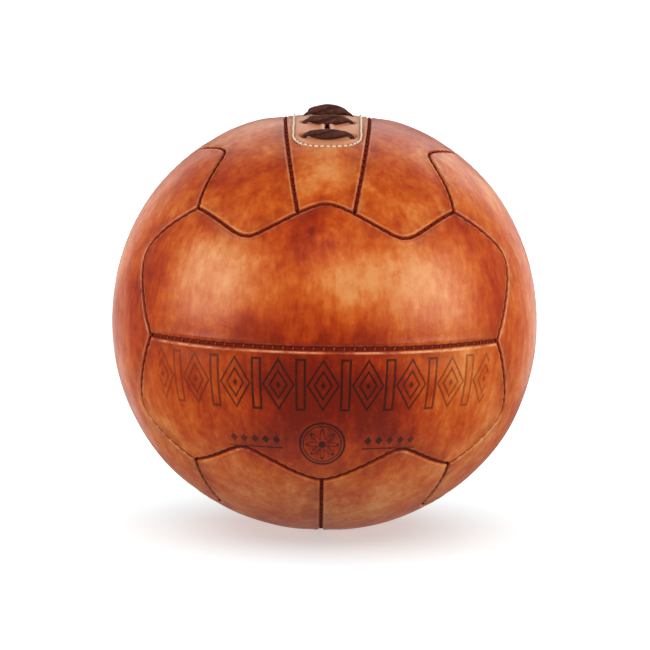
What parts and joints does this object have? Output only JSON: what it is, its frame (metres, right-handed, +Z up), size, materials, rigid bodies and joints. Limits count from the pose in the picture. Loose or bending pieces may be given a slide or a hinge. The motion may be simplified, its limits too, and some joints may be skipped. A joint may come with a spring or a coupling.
{
  "type": "laced leather ball",
  "caption": "Hand-sewn ball of burnished brown leather panels with a laced centre strip over an air bladder, decorated with plain printed ornament.",
  "frame": {"origin": "centre of the inflated ball", "axes": "+Z up through the middle of the lacing, -Y out of the decorated front panels, +X to the right seen from the front"},
  "size_m": [0.2198, 0.2198, 0.2217],
  "materials": {
    "cover_leather": "burnished orange-brown hide, mottled, waxed to a soft gloss",
    "strip_leather": "the same hide, lighter and a little rubbed",
    "seam_thread": "dark waxed linen thread",
    "stitch_thread": "cream linen thread",
    "lace_leather": "very dark brown twisted lace, dull",
    "facing_leather": "rough side of the hide",
    "tongue_leather": "dull dark hide",
    "bladder_rubber": "matt red rubber",
    "tie_cord": "undyed cord"
  },
  "bodies": {
    "root": {"panel_front_upper": "cover_leather", "panel_front_lower": "cover_leather", "panel_back_upper": "cover_leather", "panel_back_lower": "cover_leather", "panel_left_front": "cover_leather", "panel_left_back": "cover_leather", "panel_right_front": "cover_leather", "panel_right_back": "cover_leather", "panel_bottom_left": "cover_leather", "panel_bottom_right": "cover_leather", "panel_top_left": "cover_leather", "panel_top_right": "cover_leather", "panel_top_strip": "strip_leather", "seam_front_bottom": "seam_thread", "seam_front_top": "seam_thread", "seam_back_bottom": "seam_thread", "seam_back_top": "seam_thread", "seam_front_left": "seam_thread", "seam_front_right": "seam_thread", "seam_back_left": "seam_thread", "seam_back_right": "seam_thread", "seam_left_bottom": "seam_thread", "seam_left_top": "seam_thread", "seam_right_bottom": "seam_thread", "seam_right_top": "seam_thread", "seam_front_middle": "seam_thread", "seam_back_middle": "seam_thread", "seam_left_middle": "seam_thread", "seam_right_middle": "seam_thread", "seam_bottom_middle": "seam_thread", "seam_top_strip_left": "seam_thread", "seam_top_strip_right": "seam_thread", "facing_stitch": "stitch_thread", "lace": "lace_leather", "lace_facing": "facing_leather", "tongue": "tongue_leather", "bladder": "bladder_rubber", "bladder_neck_tie": "tie_cord"}
  },
  "joints": []
}
